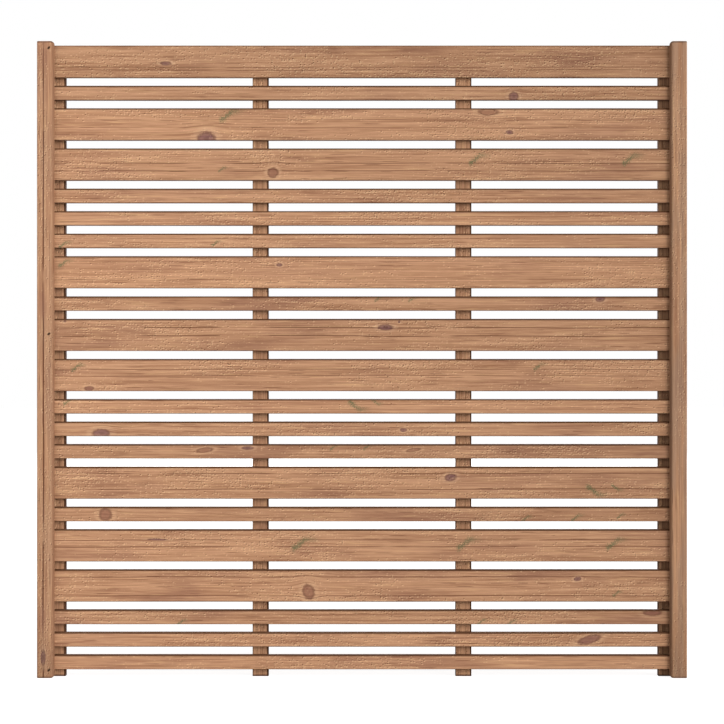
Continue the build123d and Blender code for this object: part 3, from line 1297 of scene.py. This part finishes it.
def seen_rays(bench):
    """1 for rays that come from the camera, a mirror or glass, otherwise 0."""
    rays = bench.node("ShaderNodeLightPath").outputs
    return bench.highest(rays["Is Camera Ray"], rays["Is Glossy Ray"], rays["Is Transmission Ray"])


def mix_seen(bench, plain, seen):
    """One shader for the rays that are seen and another for the rest."""
    inputs = {0: seen_rays(bench), 1: plain, 2: seen}
    return bench.node("ShaderNodeMixShader", inputs).outputs[0]


def grey_diffuse(bench, level):
    return bench.node("ShaderNodeBsdfDiffuse", {"Color": (level, level, level, 1.0)})


floor_paint, bench, output = start_material("floor_paint")
glow = bench.node("ShaderNodeEmission", {"Color": WHITE, "Strength": FLOOR_GLOW})
shadow = grey_diffuse(bench, SEEN_FLOOR_GREY)
seen_floor = bench.node("ShaderNodeAddShader", {0: glow, 1: shadow})
bench.feed(output.inputs["Surface"], mix_seen(bench, grey_diffuse(bench, PLAIN_FLOOR_GREY), seen_floor))

floor_mesh = bpy.data.meshes.new("floor")
corners = [(-FLOOR_HALF, -FLOOR_HALF), (FLOOR_HALF, -FLOOR_HALF)]
corners += [(FLOOR_HALF, FLOOR_HALF), (-FLOOR_HALF, FLOOR_HALF)]
floor_mesh.from_pydata([(x, y, cad_box[0].z) for x, y in corners], [], [(0, 1, 2, 3)])
floor_mesh.materials.append(floor_paint)
floor = bpy.data.objects.new("floor", floor_mesh)
bpy.context.collection.objects.link(floor)

world = bpy.data.worlds.new("studio")
world.use_nodes = True
world.node_tree.nodes.clear()
bench = NodeBench(world.node_tree)
sky = bench.node("ShaderNodeBackground", {"Color": WHITE, "Strength": SKY_LEVEL})
white = bench.node("ShaderNodeBackground", {"Color": WHITE, "Strength": 1.0})
bench.feed(bench.node("ShaderNodeOutputWorld").inputs["Surface"], mix_seen(bench, sky, white))
bpy.context.scene.world = world
print("floor", 2 * FLOOR_HALF, "m wide, sky level", SKY_LEVEL)

# %% [markdown]
# ## Light
# In the picture one broad soft light stands to the right of the camera, not much above the floor: each post
# and slat shades what lies to its left and below it, with a soft edge. A near lamp would make the right side
# much brighter than the left, so a sun lamp with a very wide disc is used. Soft lamps fill in: one from the
# left, a weak one from the front, and one from the rear, for the back of the panel and the sides of the gaps.


# %% Set the lamps
def place_lamp(lamp, azimuth, elevation, distance, aim=(0.0, 0.0, 0.9)):
    """Places a lamp round the panel, azimuth 0 in front and 90 to the right, and turns it to the aim."""
    a, e = math.radians(azimuth), math.radians(elevation)
    away = Vector((math.sin(a) * math.cos(e), -math.cos(a) * math.cos(e), math.sin(e)))
    lamp.location = Vector(aim) + away * distance
    lamp.rotation_euler = (-away).to_track_quat("-Z", "Y").to_euler()
    lamp.visible_camera = False
    bpy.context.collection.objects.link(lamp)


def soft_box(name, width, height, energy, **place):
    """A rectangular lamp."""
    data = bpy.data.lights.new(name, "AREA")
    data.shape = "RECTANGLE"
    data.size = width
    data.size_y = height
    data.energy = energy
    place_lamp(bpy.data.objects.new(name, data), **place)


key_data = bpy.data.lights.new("key", "SUN")
key_data.energy = 4.38
key_data.angle = math.radians(46.0)
place_lamp(bpy.data.objects.new("key", key_data), azimuth=61.0, elevation=16.0, distance=5.0)
soft_box("left_fill", width=3.6, height=1.6, energy=98.0, azimuth=-68.0, elevation=16.0, distance=4.0)
soft_box("front_fill", width=3.0, height=2.0, energy=15.0, azimuth=0.0, elevation=14.0, distance=8.0)
soft_box("rear_fill", width=6.0, height=1.5, energy=430.0, azimuth=180.0, elevation=5.0, distance=8.0)

bpy.context.scene.view_settings.view_transform = "Standard"

# %% [markdown]
# ## The size of the panel
# The dressed panel has to stay in the box of the CAD model, because other tools trust that box.
